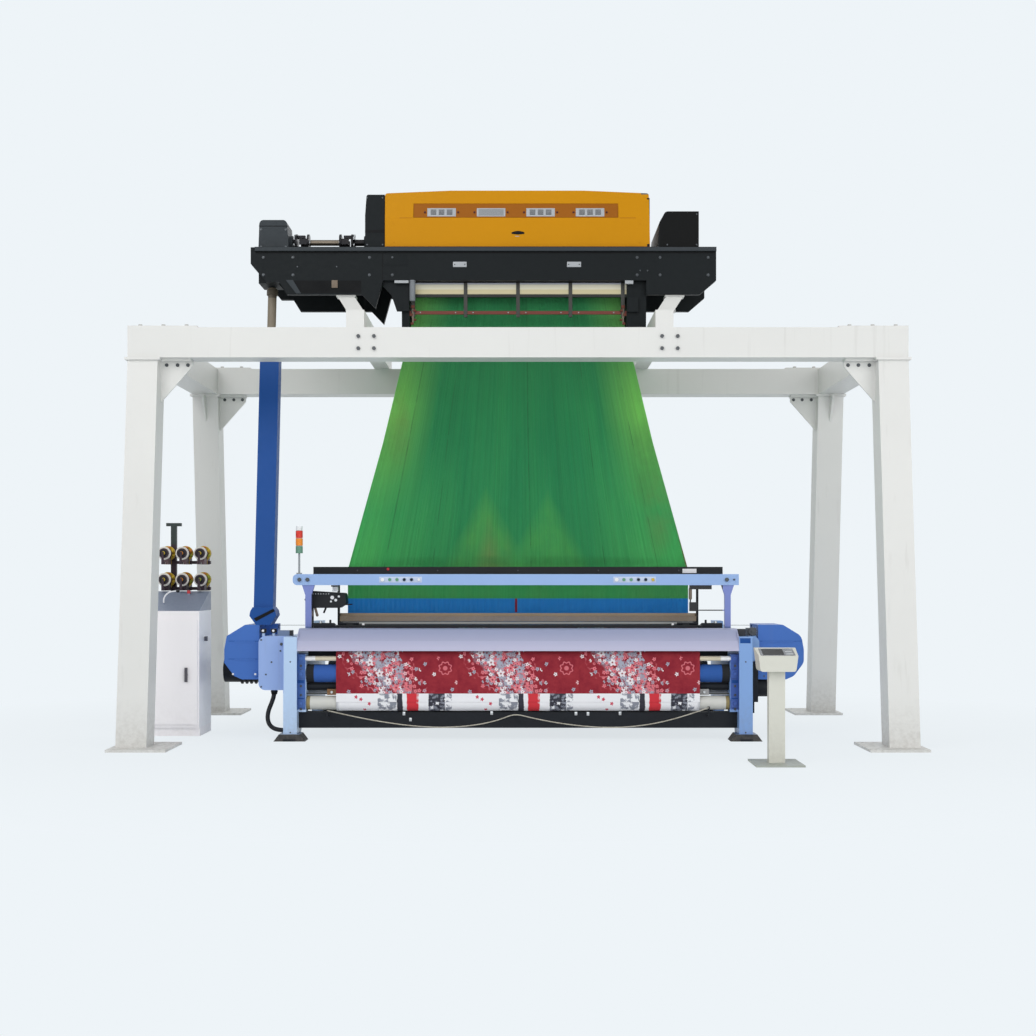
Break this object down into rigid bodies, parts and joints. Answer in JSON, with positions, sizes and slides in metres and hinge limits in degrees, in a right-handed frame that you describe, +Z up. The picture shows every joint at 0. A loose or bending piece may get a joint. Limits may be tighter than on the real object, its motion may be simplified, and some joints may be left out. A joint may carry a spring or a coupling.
{
  "type": "power loom",
  "caption": "Wide rapier power loom with a Jacquard head on an off-white steel gantry, green harness, blue frame and figured red cloth",
  "frame": {"origin": "Middle of the overall bounding box on the floor, under the loom and gantry", "axes": "X runs along the loom to the weaver's right, Y points from the weaver's side to the warp beam, Z is up"},
  "size_m": [6.82, 4.8, 5.009],
  "materials": {
    "gantry_paint": "satin off-white paint",
    "bolt_steel": "zinc-plated bolts",
    "head_iron": "satin black paint on cast iron",
    "hood_paint": "satin yellow-orange paint",
    "gear_paint": "dark grey paint",
    "bright_steel": "ground steel",
    "shaft_steel": "brown-grey paint",
    "guard_blue": "satin blue paint",
    "module_plastic": "dark moulded plastic",
    "cream_paint": "cream paint",
    "harness_green": "green harness cords",
    "board_black": "matt black",
    "heddle_blue": "blue heddle wires",
    "frame_blue": "satin light blue paint",
    "dark_paint": "dark machine paint",
    "cover_lavender": "satin lavender paint",
    "roller_rubber": "grip covering",
    "cloth_red": "woven figured cloth",
    "warp_yarn": "wound warp",
    "sley_alloy": "machined light alloy",
    "reed_steel": "reed wires in a brown band",
    "lens_red": "coloured lens plastic",
    "cabinet_white": "white powder coat",
    "hose_rubber": "black rubber",
    "cord_yarn": "plain braided cord"
  },
  "bodies": {
    "machine": {"front_left_leg": "gantry_paint", "front_right_leg": "gantry_paint", "rear_left_leg": "gantry_paint", "rear_right_leg": "gantry_paint", "front_beam": "gantry_paint", "rear_beam": "gantry_paint", "left_end_beam": "gantry_paint", "right_end_beam": "gantry_paint", "left_bearer": "gantry_paint", "right_bearer": "gantry_paint", "gantry_bolts": "bolt_steel", "head_frame": "head_iron", "left_head_box": "hood_paint", "right_head_box": "hood_paint", "top_gearbox": "gear_paint", "shaft_guard": "guard_blue", "hook_modules": "module_plastic", "cord_guide": "cream_paint", "harness_cords": "harness_green", "comber_board": "board_black", "heddle_curtain": "heddle_blue", "left_side_frame": "frame_blue", "right_side_frame": "frame_blue", "front_cross_beam": "dark_paint", "rear_cross_beam": "dark_paint", "breast_beam": "cover_lavender", "front_rail": "frame_blue", "cloth_web": "cloth_red", "warp_sheet": "warp_yarn", "left_wheel_cover": "guard_blue", "right_wheel_cover": "guard_blue", "weft_selector": "board_black", "signal_tower": "lens_red", "drive_motor": "dark_paint", "take_up_motor": "dark_paint", "cabinet": "cabinet_white", "feeder_stand": "dark_paint", "pedestal": "cream_paint", "hose": "hose_rubber", "stop_cord": "cord_yarn"},
    "top_shaft": {"top_shaft": "bright_steel", "shaft_crosses": "bright_steel"},
    "drive_shaft": {"drive_shaft": "shaft_steel"},
    "griffe_a": {"griffe_a": "bright_steel"},
    "griffe_b": {"griffe_b": "bright_steel"},
    "sley": {"sley": "sley_alloy", "reed": "reed_steel"},
    "left_rapier": {"left_rapier": "board_black"},
    "right_rapier": {"right_rapier": "board_black"},
    "left_rapier_wheel": {"left_rapier_wheel": "sley_alloy"},
    "right_rapier_wheel": {"right_rapier_wheel": "sley_alloy"},
    "guide_rod": {"guide_rod": "bright_steel"},
    "take_up_roller": {"take_up_roller": "roller_rubber"},
    "cloth_beam": {"cloth_beam": "bright_steel", "cloth_roll": "cloth_red"},
    "warp_beam": {"warp_beam": "warp_yarn"},
    "back_rest": {"back_rest": "bright_steel"},
    "head_hood": {"head_hood": "hood_paint"},
    "cabinet_door": {"cabinet_door": "cabinet_white"},
    "cabinet_latch": {"cabinet_latch": "board_black"}
  },
  "joints": [
    {"name": "drive_spin", "type": "hinge", "parent": "machine", "child": "drive_shaft", "pos_m": [-2.294, 0.13, 4.15], "axis": [0, 0.1374, 0.9905], "continuous": true},
    {"name": "top_spin", "type": "hinge", "parent": "machine", "child": "top_shaft", "pos_m": [-2, 0.13, 4.572], "axis": [1, 0, 0], "continuous": true},
    {"name": "griffe_a_lift", "type": "slide", "parent": "machine", "child": "griffe_a", "axis": [0, 0, 1], "range_m": [-0.05, 0.05]},
    {"name": "griffe_b_lift", "type": "slide", "parent": "machine", "child": "griffe_b", "axis": [0, 0, 1], "range_m": [-0.05, 0.05]},
    {"name": "sley_swing", "type": "hinge", "parent": "machine", "child": "sley", "pos_m": [0, -0.04, 0.4], "axis": [1, 0, 0], "range_deg": [0, 8]},
    {"name": "left_wheel_spin", "type": "hinge", "parent": "machine", "child": "left_rapier_wheel", "pos_m": [-2.4, -0.032, 0.8387], "axis": [0, 1, 0], "range_deg": [0, 578.17]},
    {"name": "right_wheel_spin", "type": "hinge", "parent": "machine", "child": "right_rapier_wheel", "pos_m": [2.338, -0.032, 0.8387], "axis": [0, -1, 0], "range_deg": [0, 578.17]},
    {"name": "left_rapier_slide", "type": "slide", "parent": "machine", "child": "left_rapier", "axis": [1, 0, 0], "range_m": [0, 1.665]},
    {"name": "right_rapier_slide", "type": "slide", "parent": "machine", "child": "right_rapier", "axis": [-1, 0, 0], "range_m": [0, 1.665]},
    {"name": "take_up_spin", "type": "hinge", "parent": "machine", "child": "take_up_roller", "pos_m": [0, -0.467, 0.59], "axis": [-1, 0, 0], "continuous": true},
    {"name": "guide_rod_spin", "type": "hinge", "parent": "machine", "child": "guide_rod", "pos_m": [0, -0.525, 0.725], "axis": [-1, 0, 0], "continuous": true},
    {"name": "cloth_beam_spin", "type": "hinge", "parent": "machine", "child": "cloth_beam", "pos_m": [0, -0.474, 0.328], "axis": [-1, 0, 0], "continuous": true},
    {"name": "warp_spin", "type": "hinge", "parent": "machine", "child": "warp_beam", "pos_m": [0, 1, 0.54], "axis": [-1, 0, 0], "continuous": true},
    {"name": "back_rest_spin", "type": "hinge", "parent": "machine", "child": "back_rest", "pos_m": [0, 1.265, 0.922], "axis": [1, 0, 0], "continuous": true},
    {"name": "hood_hinge", "type": "hinge", "parent": "machine", "child": "head_hood", "pos_m": [0, 0.735, 4.468], "axis": [-1, 0, 0], "range_deg": [0, 55]},
    {"name": "door_hinge", "type": "hinge", "parent": "machine", "child": "cabinet_door", "pos_m": [-3.384, -0.248, 0.6], "axis": [0, 0, -1], "range_deg": [0, 100]},
    {"name": "latch_turn", "type": "hinge", "parent": "cabinet_door", "child": "cabinet_latch", "pos_m": [-3.012, -0.26, 0.562], "axis": [0, 1, 0], "range_deg": [0, 90]}
  ],
  "couplings": [
    {"joint": "top_spin", "follows": "drive_spin", "ratio": 1},
    {"joint": "griffe_b_lift", "follows": "griffe_a_lift", "ratio": -1},
    {"joint": "left_rapier_slide", "follows": "left_wheel_spin", "m_per_rad": 0.165},
    {"joint": "right_wheel_spin", "follows": "left_wheel_spin", "ratio": 1},
    {"joint": "right_rapier_slide", "follows": "left_wheel_spin", "m_per_rad": 0.165},
    {"joint": "guide_rod_spin", "follows": "take_up_spin", "ratio": 3.6364},
    {"joint": "cloth_beam_spin", "follows": "take_up_spin", "ratio": 1.0959},
    {"joint": "back_rest_spin", "follows": "warp_spin", "ratio": 4.5714}
  ]
}
